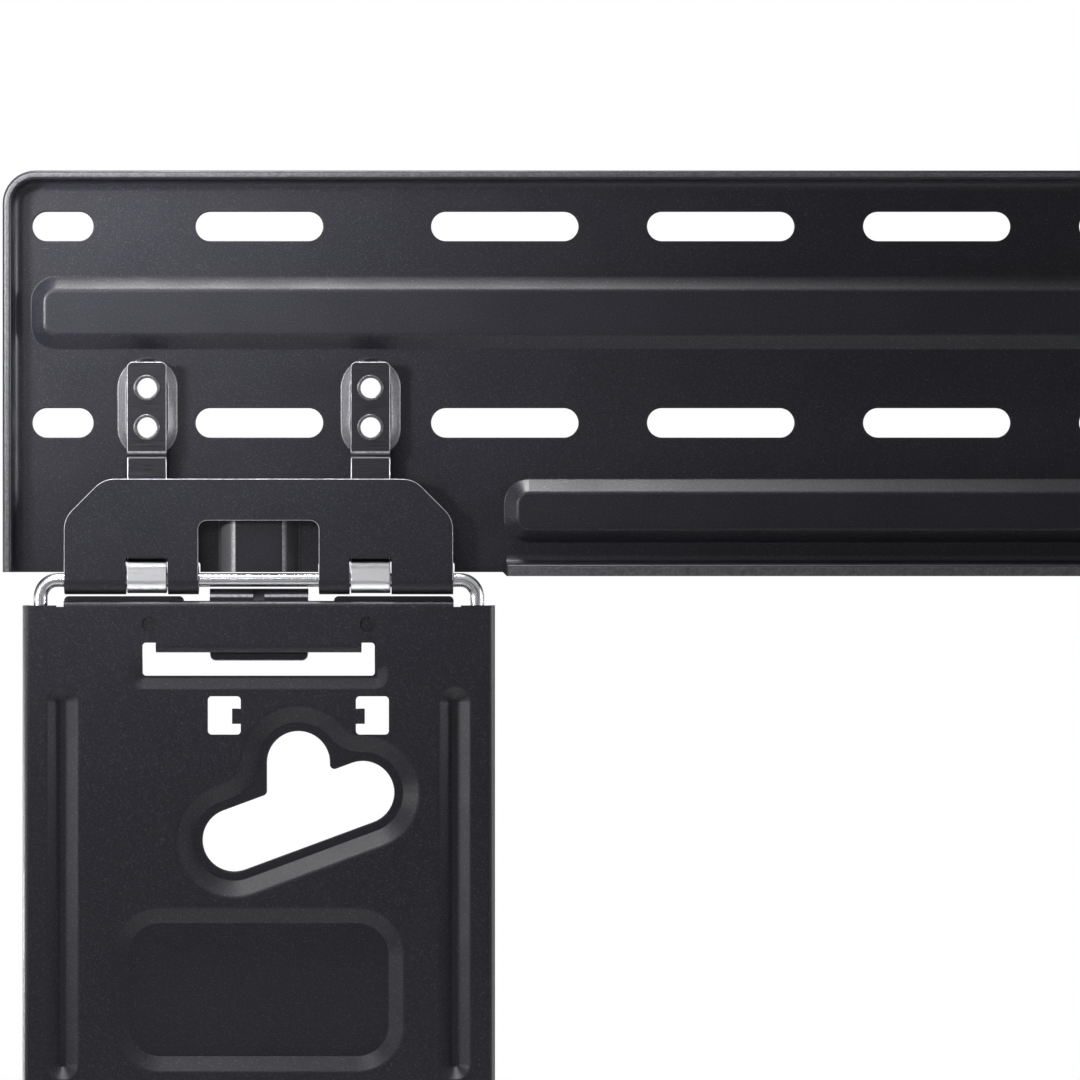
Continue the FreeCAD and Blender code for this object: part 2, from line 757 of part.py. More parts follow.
def make_strap(name, place_formula):
    """Strap from its pad, down behind the leaf, through the window and round the wire."""
    body = new_body(name)
    thickness = size("strap_sheet")
    bend = size("strap_bend")
    step_angle, step_height = joggle(size("strap_step"), bend)
    # in the window the strap comes forward, to lie in front of the wire
    forward_angle, forward_height = joggle(thickness, bend)
    forward_start = size("window_top") + size("window_play")
    moves = [
        ("line", size("strap_step_place") - size("strap_top")),
        ("bend", bend, step_angle), ("bend", bend, -step_angle),
        ("line", forward_start - size("strap_step_place") - step_height),
        ("bend", bend, -forward_angle), ("bend", bend, forward_angle),
        ("line", size("hinge_drop") - forward_start - forward_height),
        ("bend", size("bore_radius") + thickness / 2, size("strap_curl_deg"))]
    start = (-size("pad_front") - thickness / 2, -size("strap_top"))
    profile = add_sketch(body, "profile", "YZ_Plane", strip_outline(start, -90, moves, thickness))
    pad(body, "bent_strip", profile, "Sizes.strap_width", midplane=True)

    def top_corner(edge):
        box = edge.BoundBox
        return box.YLength > thickness - 0.01 and box.ZLength < 1e-6 \
            and abs(box.ZMax + size("strap_top")) < 1e-4

    round_edges(body, "top_corners", "Sizes.strap_corner", top_corner)

    def front_edge(edge):
        bends_away = abs(edge.BoundBox.ZMax + size("strap_step_place")) < 1e-4
        return at_depth(size("pad_front") + thickness)(edge) and not bends_away

    round_edges(body, "front_edges", "Sizes.strap_edge", front_edge)
    radius = size("eyelet_bore") / 2 + size("eyelet_wall") + size("eyelet_fit")
    holes = [Part.Circle(Vector(0, z, 0), Vector(0, 0, 1), radius) for z in eyelet_heights().values()]
    hole_sketch = add_sketch(body, "eyelet_holes", "XZ_Plane", holes)
    pocket(body, "eyelet_holes", hole_sketch, forwards=True)
    body.setExpression("Placement.Base.x", place_formula)
    return body


def eyelet_heights():
    half_pitch = size("eyelet_pitch") / 2
    return {"upper": -size("eyelet_middle") + half_pitch, "lower": -size("eyelet_middle") - half_pitch}


def make_eyelet(name, place_formula, height_formula):
    """Hollow rivet: a rolled ring on the strap, a barrel and a wider ring behind the pad."""
    body = new_body(name)
    bore = size("eyelet_bore") / 2
    barrel = bore + size("eyelet_wall")
    ring_face = -size("pad_front") - size("strap_sheet")
    back_face = -size("pad_rise")
    ring_front = ring_face - size("eyelet_ring_rise")
    back_end = back_face + size("eyelet_back_rise")
    corner = size("eyelet_round")
    profile = rounded_outline([
        (ring_front, bore, corner), (ring_front, size("eyelet_ring") / 2, corner),
        (ring_face, size("eyelet_ring") / 2, 0), (ring_face, barrel, 0),
        (back_face, barrel, 0), (back_face, size("eyelet_back") / 2, 0),
        (back_end, size("eyelet_back") / 2, corner), (back_end, bore, corner)])
    sketch = add_sketch(body, "profile", "YZ_Plane", profile)
    turned = body.newObject("PartDesign::Revolution", name + "_turned")
    turned.Profile = sketch
    turned.ReferenceAxis = (sketch, ["H_Axis"])
    turned.Angle = 360
    doc.recompute()
    body.setExpression("Placement.Base.x", place_formula)
    body.setExpression("Placement.Base.z", height_formula)
    return body


def make_wire_bail(name, side):
    """Bent wire: the hinge pin above, a leg down each side of the arm and an inturned foot."""
    body = new_body(name)
    leg, end, bend = size("leg_place"), size("foot_end"), size("wire_bend")
    pin, foot = -size("hinge_drop"), -size("leg_foot")
    route = rounded_path([(end, foot, 0), (leg, foot, bend), (leg, pin, bend),
                          (-leg, pin, bend), (-leg, foot, bend), (-end, foot, 0)])
    path = add_sketch(body, "route", "XZ_Plane", route, "Sizes.wire_depth")
    circle = Part.Circle(Vector(-size("wire_depth"), foot, 0), Vector(0, 0, 1), size("wire_diameter") / 2)
    section = add_sketch(body, "section", "YZ_Plane", [circle], "Sizes.foot_end")
    wire = body.newObject("PartDesign::AdditivePipe", name + "_wire")
    wire.Profile = section
    wire.Spine = (path, ["Edge%d" % number for number in range(1, len(route) + 1)])
    doc.recompute()
    run = sum(edge.Length for edge in path.Shape.Edges)
    expected = run * math.pi * (size("wire_diameter") / 2) ** 2
    if abs(wire.Shape.Volume / expected - 1) > 0.01:
        raise RuntimeError("%s has %.1f mm3 instead of %.1f" % (name, wire.Shape.Volume, expected))
    body.setExpression("Placement.Base.x", "%d * Sizes.arm_place" % side)
    return body


def arm_outline():
    half, foot, top = size("arm_width") / 2, -size("arm_foot"), -size("arm_top")
    lip, relief = size("lip_half"), size("lip_half") + size("lip_relief")
    notch = -size("lip_top") - size("arm_sheet")
    right_side = [(half, foot, size("arm_corner")), (half, top, 0), (relief, top, 0),
                  (relief, notch, 0), (lip, notch, 0), (lip, -size("lip_top"), 0)]
    left_side = [(-x, y, radius) for x, y, radius in reversed(right_side)]
    return rounded_outline(right_side + left_side)


def arm_inside_outline():
    """Inside of the folded flanges: closed by the lip in the middle and open at both shoulders."""
    sheet_t = size("arm_sheet")
    half, foot = size("arm_width") / 2 - sheet_t, -size("arm_foot") + sheet_t
    lip, above = size("lip_half"), -size("lip_top") + size("arm_depth")
    under_lip = -size("lip_top") - sheet_t
    right_side = [(half, foot, size("arm_corner") - sheet_t), (half, above, 0), (lip, above, 0),
                  (lip, under_lip, 0)]
    left_side = [(-x, y, radius) for x, y, radius in reversed(right_side)]
    return rounded_outline(right_side + left_side)


def key_face(side, grow, valley):
    """Keyhole of one arm as a face: entry, neck and slanting slot, grown and with round valleys."""
    def place(u, drop):
        return Vector(-side * u, -drop, 0)

    radius = size("key_radius")
    entry = place(size("key_entry_x"), size("key_entry_drop"))
    low = place(size("key_low_x"), size("key_low_drop"))
    high = place(size("key_high_x"), size("key_high_drop"))

    def disc(centre):
        return Part.makeCylinder(radius, 1, centre)

    def band(start, end, offset_from, offset_to):
        along = end - start
        across = Vector(-along.y, along.x, 0)
        across.normalize()
        points = [start + across * offset_from, end + across * offset_from,
                  end + across * offset_to, start + across * offset_to]
        return Part.Face(Part.makePolygon(points + points[:1])).extrude(Vector(0, 0, 1))

    neck_foot = Vector(entry.x, (low.y + high.y) / 2, 0)
    solid = disc(entry).fuse([disc(low), disc(high), band(low, high, -radius, radius),
                              band(entry, neck_foot, side * radius, 0)]).removeSplitter()
    floor = next(face for face in solid.Faces if face.BoundBox.ZMax < 1e-6)
    return floor.makeOffset2D(grow + valley).makeOffset2D(-valley)


def edge_geometry(face):
    """Sketch geometry along a face's outer wire."""
    geometry = []
    for edge in face.OuterWire.OrderedEdges:
        start, end = edge.valueAt(edge.FirstParameter), edge.valueAt(edge.LastParameter)
        if isinstance(edge.Curve, Part.Line):
            geometry.append(Part.LineSegment(start, end))
        else:
            middle = edge.valueAt((edge.FirstParameter + edge.LastParameter) / 2)
            geometry.append(Part.Arc(start, middle, end))
    return geometry


def sunk(body, name, outlines, sink, flank, crest):
    """Presses a tapered recess with a soft rim into the arm's face, and pushes the sheet out behind."""
    slope = math.degrees(math.atan(size(flank) / size(sink)))
    grow = size("arm_sheet") * math.tan(math.radians(90 - slope) / 2)
    back = add_sketch(body, name + "_back", "XZ_Plane", outlines(grow), "Sizes.arm_depth - Sizes.arm_sheet")
    pad(body, name + "_swell", back, "Sizes." + sink, backwards=True, taper=slope)
    front = add_sketch(body, name + "_front", "XZ_Plane", outlines(0.0), "Sizes.arm_depth")
    pocket(body, name + "_sink", front, "Sizes." + sink, taper=slope)
    rim_boxes = [wire.BoundBox for wire in front.Shape.Wires]

    def rim(edge):
        box = edge.BoundBox
        return at_depth(size("arm_depth"))(edge) and any(
            box.XMin > outer.XMin - 1e-3 and box.XMax < outer.XMax + 1e-3
            and box.ZMin > outer.ZMin - 1e-3 and box.ZMax < outer.ZMax + 1e-3 for outer in rim_boxes)

    return round_edges(body, name + "_crest", "Sizes." + crest, rim)


def make_arm(name, side):
    """Arm that carries the screen: a pressed face with flanges folded back to the wall."""
    body = new_body(name)
    front = "Sizes.arm_depth"
    half, foot = size("arm_width") / 2, -size("arm_foot")
    pad(body, "block", add_sketch(body, "outline", "XZ_Plane", arm_outline()), front)

    def outer_fold(edge):
        box = edge.BoundBox
        at_side = abs(abs(box.XMin) - half) < 1e-4 and abs(abs(box.XMax) - half) < 1e-4
        at_foot = box.ZMax < foot + size("arm_corner") + 1e-3
        return at_depth(size("arm_depth"))(edge) and (at_side or at_foot)

    def lip_fold(edge):
        return at_depth(size("arm_depth"))(edge) and abs(edge.BoundBox.ZMin + size("lip_top")) < 1e-4

    round_edges(body, "folds", "Sizes.arm_bend", outer_fold)
    round_edges(body, "lip_fold", "Sizes.lip_bend", lip_fold)
    inside = add_sketch(body, "inside", "XZ_Plane", arm_inside_outline())
    pocket(body, "inside", inside, "Sizes.arm_depth - Sizes.arm_sheet", forwards=True)
    play = size("cut_play")
    lip = add_sketch(body, "lip_cut", "XZ_Plane",
                     box_outline(-size("lip_half") - play, size("lip_half") + play,
                                 -size("lip_top") - size("arm_sheet") - play, -size("lip_top") + play))
    pocket(body, "lip_cut", lip, "Sizes.arm_depth - Sizes.lip_depth", forwards=True)

    def ribs(grow):
        geometry = []
        for way in (-1, 1):
            geometry += upright_slot_outline(
                way * size("rib_place"), -(size("rib_top") + size("rib_foot")) / 2,
                size("rib_width") + 2 * grow, size("rib_foot") - size("rib_top") + 2 * grow)
        return geometry

    def panel(grow):
        # a short panel limits its corners
        corner = min(size("panel_corner"), (size("panel_foot") - size("panel_top")) / 2 - size("cut_play"))
        return box_outline(-size("panel_half") - grow, size("panel_half") + grow,
                           -size("panel_foot") - grow, -size("panel_top") + grow, corner + grow)

    def slot_step(grow):
        reach = size("head_slot_half") + size("slot_step_margin") + grow
        return box_outline(-reach, reach, -size("head_slot_foot") - size("slot_step_margin") - grow,
                           -size("hem_foot") - size("slot_step_sink") + grow, size("slot_step_margin") + grow)

    def key_recess(grow):
        reach = size("key_land") + size("key_flank") + grow
        return edge_geometry(key_face(side, reach, size("key_outer_valley")))

    for name, outlines in (("rib", ribs), ("panel", panel), ("slot_step", slot_step), ("key", key_recess)):
        sunk(body, name, outlines, name + "_sink", name + "_flank", name + "_crest")

    hem, hem_foot = size("hem_half"), -size("hem_foot")
    slot, slot_top, slot_foot = size("head_slot_half"), -size("head_slot_top"), -size("head_slot_foot")
    corner = size("head_slot_corner")
    head_slot = rounded_outline([
        (-slot, slot_foot, corner), (slot, slot_foot, corner), (slot, slot_top, corner), (hem, slot_top, 0),
        (hem, hem_foot, 0), (-hem, hem_foot, 0), (-hem, slot_top, 0), (-slot, slot_top, corner)])
    pocket(body, "head_slot", add_sketch(body, "head_slot", "XZ_Plane", head_slot), forwards=True)
    hem_box = box_outline(-hem, hem, hem_foot, hem_foot + size("arm_sheet"))
    pad(body, "hem", add_sketch(body, "hem", "XZ_Plane", hem_box, "Sizes.arm_depth - Sizes.arm_sheet"),
        "Sizes.lip_depth - Sizes.arm_sheet", backwards=True)

    def hem_fold(edge):
        box = edge.BoundBox
        return at_depth(size("arm_depth"))(edge) and abs(box.ZMax - hem_foot) < 1e-4 and box.XLength > hem

    round_edges(body, "hem_fold", "Sizes.arm_bend", hem_fold)

    windows, tabs = [], []
    tab_top = -size("tab_middle") + size("tab_height") / 2
    tab_foot = -size("tab_middle") - size("tab_height") / 2
    window_top = -size("square_top")
    window_foot = window_top - size("square_height")
    for way in (-1, 1):
        middle = -side * size("square_shift") + way * size("square_place")
        outer = middle + way * size("square_width") / 2
        inner = middle - way * size("square_width") / 2
        tab_end = inner + way * size("tab_reach")
        window_corner = size("square_corner")
        windows += rounded_outline([
            (inner, window_foot, window_corner), (outer, window_foot, window_corner),
            (outer, window_top, window_corner), (inner, window_top, window_corner),
            (inner, tab_top, 0), (tab_end, tab_top, 0), (tab_end, tab_foot, 0), (inner, tab_foot, 0)])
        tab_root = tab_end - way * size("arm_sheet")
        tabs += box_outline(min(tab_root, tab_end), max(tab_root, tab_end), tab_foot, tab_top)
    pocket(body, "windows", add_sketch(body, "windows", "XZ_Plane", windows), forwards=True)
    pad(body, "tabs", add_sketch(body, "tabs", "XZ_Plane", tabs, "Sizes.arm_depth - Sizes.arm_sheet"),
        "Sizes.tab_depth", backwards=True)
    key = edge_geometry(key_face(side, 0.0, size("key_valley")))
    pocket(body, "keyhole", add_sketch(body, "keyhole", "XZ_Plane", key), forwards=True)
    round_edges(body, "keyhole_edge", "Sizes.key_edge", at_depth(size("arm_depth") - size("key_sink")))

    def discs(diameter):
        return [Part.Circle(Vector(way * size("dimple_place"), -size("dimple_drop"), 0), Vector(0, 0, 1),
                            diameter / 2) for way in (-1, 1)]

    bosses = add_sketch(body, "bosses", "XZ_Plane", discs(size("boss_width")),
                        "Sizes.arm_depth - Sizes.arm_sheet")
    pad(body, "bosses", bosses, "Sizes.lip_depth + Sizes.leg_play - Sizes.arm_sheet", backwards=True)
    dimples = add_sketch(body, "dimples", "XZ_Plane", discs(size("dimple_width")), front)
    pocket(body, "dimples", dimples, "Sizes.dimple_sink")
    body.setExpression("Placement.Base.x", "%d * Sizes.arm_place" % side)
    return body


def make_head_bracket(name, side):
    """Bracket that closes the arm's head from behind and traps the legs of the bail."""
    body = new_body(name)
    thickness = size("bracket_sheet")
    middle = -size("bracket_front") + thickness / 2
    tongue, web = size("tongue_half"), size("hem_half")
    strip, lip = size("strip_inner"), size("lip_half")
    right_side = [
        (tongue, -size("tongue_foot"), size("tongue_corner")), (tongue, -size("web_foot"), 0),
        (web, -size("web_foot"), size("strip_corner")), (web, -size("wing_foot"), 0),
        (lip, -size("wing_foot"), 0), (lip, -size("strip_top"), size("strip_corner")),
        (strip, -size("strip_top"), size("strip_corner")), (strip, -size("web_top"), size("strip_corner"))]
    left_side = [(-x, y, radius) for x, y, radius in reversed(right_side)]
    plan = rounded_outline(right_side + left_side)
    back_offset = "Sizes.arm_depth - Sizes.lip_depth - Sizes.leg_play - Sizes.bracket_sheet"
    pad(body, "plate", add_sketch(body, "plan", "XZ_Plane", plan, back_offset), "Sizes.bracket_sheet")

    # the tongue stands above the lip and turns back towards the wall
    bend = size("tongue_bend") + thickness / 2
    bend_start = -size("tongue_top") - thickness / 2 - bend
    tongue_start = -size("web_top") - thickness
    tongue_moves = [("line", bend_start - tongue_start), ("bend", bend, -90), ("line", size("tongue_shelf"))]
    profile = strip_outline((middle, tongue_start), 90, tongue_moves, thickness)
    pad(body, "tongue", add_sketch(body, "tongue", "YZ_Plane", profile), "2 * Sizes.tongue_half",
        midplane=True)

    # a dart across the tongue's bend: a web behind it and a groove in front
    front_face, back_face = -size("bracket_front"), -size("bracket_front") + thickness
    under_shelf, overlap = -size("tongue_top") - thickness, size("dart_overlap")
    dart = rounded_outline([
        (back_face - overlap, under_shelf + overlap, 0),
        (back_face + size("dart_depth"), under_shelf + overlap, 0),
        (back_face - overlap, under_shelf - size("dart_reach"), 0)])
    pad(body, "dart", add_sketch(body, "dart", "YZ_Plane", dart), "2 * Sizes.dart_half", midplane=True)
    outside_front, outside_top = front_face - thickness, -size("tongue_top") + thickness
    groove = rounded_outline([
        (outside_front, outside_top, 0), (outside_front, under_shelf - size("groove_foot"), 0),
        (front_face, under_shelf - size("groove_start"), 0),
        (back_face + size("groove_floor"), -size("tongue_top"), 0),
        (back_face + size("groove_floor"), outside_top, 0)])
    pocket(body, "groove", add_sketch(body, "groove", "YZ_Plane", groove), "2 * Sizes.groove_half",
           both_ways=True)

    def tongue_edge(edge):
        return at_depth(size("bracket_front"))(edge) and edge.BoundBox.ZMin < -size("web_foot") - 1e-3

    round_edges(body, "tongue_edge", "Sizes.tongue_edge", tongue_edge)

    # wings step back behind the legs of the bail
    wing_front = size("wire_depth") - size("wire_diameter") / 2 - size("leg_play")
    step_angle, step_length = joggle(size("bracket_front") - wing_front, size("wing_bend"))
    for way, hand in ((1, "right"), (-1, "left")):
        start = size("lip_half") - thickness
        moves = [("line", size("wing_lead")), ("bend", size("wing_bend"), way * step_angle),
                 ("bend", size("wing_bend"), -way * step_angle),
                 ("line", size("wing_half") - start - size("wing_lead") - step_length)]
        outline = strip_outline((way * start, middle), 0 if way > 0 else 180, moves, thickness)
        wing = add_sketch(body, hand + "_wing", "XY_Plane", outline, "-Sizes.wing_foot")
        pad(body, hand + "_wing", wing, "Sizes.wing_foot - Sizes.wing_top")
    body.setExpression("Placement.Base.x", "%d * Sizes.arm_place" % side)
    return body


make_wall_plate()
for side_name, side in SIDES.items():
    make_hinge_leaf(side_name + "_hinge_leaf", side)
    make_wire_bail(side_name + "_wire_bail", side)
    make_arm(side_name + "_arm_plate", side)
    make_head_bracket(side_name + "_head_bracket", side)
    for strap_name, way in (("outer", 1), ("inner", -1)):
        label = "%s_%s" % (side_name, strap_name)
        place_formula = "%d * (Sizes.arm_place + %d * Sizes.strap_place)" % (side, way)
        make_strap(label + "_strap", place_formula)
        for height_name, sign in (("upper", "+"), ("lower", "-")):
            height_formula = "-Sizes.eyelet_middle %s Sizes.eyelet_pitch / 2" % sign
            make_eyelet("%s_%s_eyelet" % (label, height_name), place_formula, height_formula)
doc.recompute()

for item in doc.Objects:
    if "Invalid" in item.State or "Error" in item.State:
        raise RuntimeError("%s failed: %s" % (item.Name, item.State))

os.makedirs("parts", exist_ok=True)
for body in doc.findObjects("PartDesign::Body"):
    shape = body.Shape
    if shape.isNull() or not shape.isValid():
        raise RuntimeError("%s has no valid shape" % body.Label)
    shape.exportStep("parts/%s.step" % body.Label)
    print(body.Label, len(shape.Solids), "solid,", round(shape.Volume), "mm3")
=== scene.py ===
import json
import math

import bpy
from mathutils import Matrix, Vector

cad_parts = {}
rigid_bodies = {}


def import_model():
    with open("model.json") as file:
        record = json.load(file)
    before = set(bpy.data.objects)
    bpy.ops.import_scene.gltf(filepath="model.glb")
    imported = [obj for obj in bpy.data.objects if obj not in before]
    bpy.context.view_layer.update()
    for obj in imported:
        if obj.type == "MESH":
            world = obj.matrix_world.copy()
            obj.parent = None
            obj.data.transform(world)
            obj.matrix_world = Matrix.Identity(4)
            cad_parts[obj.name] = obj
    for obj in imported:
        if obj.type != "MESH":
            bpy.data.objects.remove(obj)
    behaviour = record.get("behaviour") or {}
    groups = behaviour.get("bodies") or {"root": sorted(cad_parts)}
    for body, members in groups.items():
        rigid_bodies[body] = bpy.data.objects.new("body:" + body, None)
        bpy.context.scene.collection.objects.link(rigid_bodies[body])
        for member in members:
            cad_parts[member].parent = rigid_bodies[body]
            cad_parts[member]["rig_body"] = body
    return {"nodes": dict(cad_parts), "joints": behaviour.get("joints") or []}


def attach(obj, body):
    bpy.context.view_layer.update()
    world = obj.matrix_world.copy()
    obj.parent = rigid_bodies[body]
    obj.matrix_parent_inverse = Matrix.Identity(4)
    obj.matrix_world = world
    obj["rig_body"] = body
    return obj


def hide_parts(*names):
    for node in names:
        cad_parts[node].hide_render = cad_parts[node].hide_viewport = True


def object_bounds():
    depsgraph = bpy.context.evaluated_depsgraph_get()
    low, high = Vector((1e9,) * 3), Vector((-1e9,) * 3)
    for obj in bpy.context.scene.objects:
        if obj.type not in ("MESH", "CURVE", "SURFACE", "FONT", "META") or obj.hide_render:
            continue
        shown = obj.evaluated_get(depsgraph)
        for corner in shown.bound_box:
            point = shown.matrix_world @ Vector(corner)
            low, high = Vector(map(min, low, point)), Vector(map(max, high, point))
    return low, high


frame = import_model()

# A wall bracket for a flat screen: a pressed steel wall plate that carries two hinged arms.
# Everything is in metres, with the wall at Y = 0 and the viewer at -Y.
MM = 0.001

cad_low, cad_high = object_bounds()

# Photograph's framing: one pixel is 0.2538 mm in the plane of the plate's rim.
PIXEL = 0.2538 * MM
PHOTO_WIDTH = 1080
PLATE_LEFT_PIXEL = 2.3
PLATE_TOP_PIXEL = 170.3
CAMERA_DISTANCE = 2.0
# The camera's sensor and lens are the only sizes given in millimetres.
SENSOR = 36.0

# The arms' middles lie at their hinges, both at one distance from the plate's middle and one height.
hinge_place = frame["joints"][0]["pos_m"]
ARM_PLACE = abs(hinge_place[0])
WIRE_HEIGHT = hinge_place[2]

# Straps: off their arm's middle, front of their upper part, and height of their step behind the leaf.
STRAP_PLACE = 28.4 * MM
STRAP_FRONT = -7.1 * MM
STRAP_TUCK = -34.0 * MM

# Height where the leaf starts to roll, and the heights between which a strap goes from the painted dark
# reflection on its flat part to silver on its roll, through a painted shade.
LEAF_ROLL = WIRE_HEIGHT + 3.0 * MM
STRAP_DARK_REFLECTION_ABOVE = WIRE_HEIGHT + 5.0 * MM
STRAP_SILVER_BELOW = WIRE_HEIGHT + 2.6 * MM

# Painted highlight lines on a strap: along its sides, measured off its middle, and at its step, measured off
# it.
SIDE_LINE_START = 4.65 * MM
SIDE_LINE_FULL = 4.80 * MM
STEP_LINE_LOW = -0.15 * MM
STEP_LINE_HIGH = 0.25 * MM
STEP_LINE_END = 0.35 * MM

# Pads under the straps, and the stiffener behind a leaf's notch.
PAD_HALF_WIDTH = 7.6 * MM
PAD_TOP = -7.0 * MM
STIFFENER_HALF_WIDTH = 11.5 * MM
STIFFENER_CREST = 6.9 * MM
CREST_FADE = 0.3 * MM

# How far behind a sheet's foremost point the middle of an edge face, worn and with a painted highlight, and
# of a rim crest face, with a painted highlight, may lie.
EDGE_DEPTH = 0.22 * MM
CREST_DEPTH = 0.25 * MM

# How far a face's normal goes to the viewer (-1 is straight at the viewer) or to the side.
FLAT_LEAN = -0.985
EDGE_LEAN = -0.15
CREST_LEAN = -0.95
FLANK_LEAN = -0.1
SIDEWAYS_LEAN = 0.25

# Fineness of the finishes, in features a metre. The straps' streaks are long in X and thin in Z.
GRAIN_FINENESS = 2600.0
PATCH_FINENESS = 60.0
# Patches of the painted highlights, and of the worn edges with their painted highlight.
PATCHY_FINENESS = 1800.0
EDGE_WEAR_AND_HIGHLIGHT_FINENESS = 900.0
EYELET_WEAR_FINENESS = 1500.0
STREAK_FINENESS = (120.0, 120.0, 5200.0)

# Values between which most of a noise lies, and a closer pair for patchy tones, mostly those of the painted
# highlights.
NOISE_LOW = 0.3
NOISE_HIGH = 0.7
PATCHY_LOW = 0.35
PATCHY_HIGH = 0.65

# Values of the grain's noise at which the coat shows its hollows, its flat and its pale specks.
HOLLOW_AT = 0.35
FLAT_AT = 0.58
SPECK_AT = 0.74

# Black coat, from the hollows of its grain to its pale specks, then lighter tones that are painted
# highlights on the rim's crest, the pads' flanks and the stiffener's crest.
COAT_HOLLOW = (0.006, 0.006, 0.0085)
COAT_FLAT = (0.009, 0.009, 0.012)
COAT_GRAIN_TOP = (0.012, 0.012, 0.015)
COAT_SPECK = (0.03, 0.03, 0.036)
COAT_HIGHLIGHT = (0.045, 0.045, 0.05)
COAT_CREST_HIGHLIGHT_LOW = (0.08, 0.08, 0.086)
COAT_HIGHLIGHT_BRIGHT = (0.095, 0.095, 0.102)
COAT_CREST_HIGHLIGHT_HIGH = (0.16, 0.16, 0.17)
# Roughness of the worn edges and of the painted highlights.
WORN_AND_HIGHLIGHT_ROUGHNESS = 0.45

# Strength of the world as a light, where 1 is the white that the camera sees.
WORLD_LIGHT = 0.2

# How far the floor and the pale card over it lie below the arms, and the sizes of the floor and the spots.
FLOOR_DROP = 60.0 * MM
UNDER_CARD_DROP = 50.0 * MM
FLOOR_RADIUS = 0.9
LAMP_RADIUS = 0.08

# Tilts of a card, in degrees.
UPRIGHT = 90.0
LYING = 0.0


def deselect_all():
    if bpy.context.object and bpy.context.object.mode != "OBJECT":
        bpy.ops.object.mode_set(mode="OBJECT")
    bpy.ops.object.select_all(action="DESELECT")


def node_material(name):
    """A new material with its tree and its surface shader."""
    material = bpy.data.materials.new(name)
    material.use_nodes = True
    tree = material.node_tree
    return material, tree, tree.nodes["Principled BSDF"]


def object_noise(tree, fineness, detail=2.0, stretch=(1.0, 1.0, 1.0)):
    """Noise over the object's own coordinates, in features per metre."""
    place = tree.nodes.new("ShaderNodeTexCoord")
    mapping = tree.nodes.new("ShaderNodeMapping")
    mapping.inputs["Scale"].default_value = stretch
    noise = tree.nodes.new("ShaderNodeTexNoise")
    noise.inputs["Scale"].default_value = fineness
    noise.inputs["Detail"].default_value = detail
    tree.links.new(place.outputs["Object"], mapping.inputs["Vector"])
    tree.links.new(mapping.outputs["Vector"], noise.inputs["Vector"])
    return noise.outputs["Fac"]


def object_place(tree):
    """The object's own coordinates, one socket for each axis."""
    place = tree.nodes.new("ShaderNodeTexCoord")
    split = tree.nodes.new("ShaderNodeSeparateXYZ")
    tree.links.new(place.outputs["Object"], split.inputs["Vector"])
    return split.outputs


def ramp(tree, source, stops):
    """Colour ramp from (position, colour) stops."""
    node = tree.nodes.new("ShaderNodeValToRGB")
    elements = node.color_ramp.elements
    while len(elements) < len(stops):
        elements.new(0.5)
    for element, (position, colour) in zip(elements, stops):
        element.position = position
        element.color = (*colour, 1.0)
    tree.links.new(source, node.inputs["Fac"])
    return node.outputs["Color"]


def two_tone(tree, noise, dark, light):
    """Colour that follows a noise from dark to light."""
    return ramp(tree, noise, [(NOISE_LOW, dark), (NOISE_HIGH, light)])


def patchy_tone(tree, noise, dark, light):
    """Colour that goes from dark to light at the closer pair of noise values, mostly for painted highlights.
    """
    return ramp(tree, noise, [(PATCHY_LOW, dark), (PATCHY_HIGH, light)])


def value_range(tree, source, low_in, high_in, low_out, high_out):
    """Socket's value carried from one range to another, and held at its ends."""
    node = tree.nodes.new("ShaderNodeMapRange")
    node.inputs["From Min"].default_value = low_in
    node.inputs["From Max"].default_value = high_in
    node.inputs["To Min"].default_value = low_out
    node.inputs["To Max"].default_value = high_out
    tree.links.new(source, node.inputs["Value"])
    return node.outputs["Result"]


def maths(tree, operation, first, second=None):
    """One sum on a socket, with a number or another socket."""
    node = tree.nodes.new("ShaderNodeMath")
    node.operation = operation
    tree.links.new(first, node.inputs[0])
    if isinstance(second, float):
        node.inputs[1].default_value = second
    elif second is not None:
        tree.links.new(second, node.inputs[1])
    return node.outputs[0]


def distance_from(tree, source, place):
    """How far a coordinate lies off a place."""
    return maths(tree, "ABSOLUTE", maths(tree, "SUBTRACT", source, place))


def off_arm_socket(tree, along_plate):
    """How far a point's place along the plate lies off the middle of the nearer arm."""
    return distance_from(tree, maths(tree, "ABSOLUTE", along_plate), ARM_PLACE)


def blend(tree, share, below, above):
    """Colour that goes from one to the other as the share goes from 0 to 1."""
    mix = tree.nodes.new("ShaderNodeMix")
    mix.data_type = "RGBA"
    tree.links.new(share, mix.inputs["Factor"])
    tree.links.new(below, mix.inputs["A"])
    tree.links.new(above, mix.inputs["B"])
    return mix.outputs["Result"]


def bump(tree, shader, height, distance, strength):
    """Fine relief from a noise, too shallow to model."""
    node = tree.nodes.new("ShaderNodeBump")
    node.inputs["Distance"].default_value = distance
    node.inputs["Strength"].default_value = strength
    tree.links.new(height, node.inputs["Height"])
    tree.links.new(node.outputs["Normal"], shader.inputs["Normal"])


def powder_coat():
    """Black powder coat: fine sand-like grain with a few pale specks."""
    material, tree, shader = node_material("black_powder_coat")
    grain = object_noise(tree, GRAIN_FINENESS, detail=3.0)
    patches = object_noise(tree, PATCH_FINENESS)
    tones = [(HOLLOW_AT, COAT_HOLLOW), (FLAT_AT, COAT_FLAT), (SPECK_AT, COAT_SPECK)]
    colour = ramp(tree, grain, tones)
    tree.links.new(colour, shader.inputs["Base Color"])
    roughness = value_range(tree, patches, NOISE_LOW, NOISE_HIGH, 0.37, 0.43)
    tree.links.new(roughness, shader.inputs["Roughness"])
    shader.inputs["Specular IOR Level"].default_value = 0.16
    bump(tree, shader, grain, distance=0.01 * MM, strength=0.6)
    return material


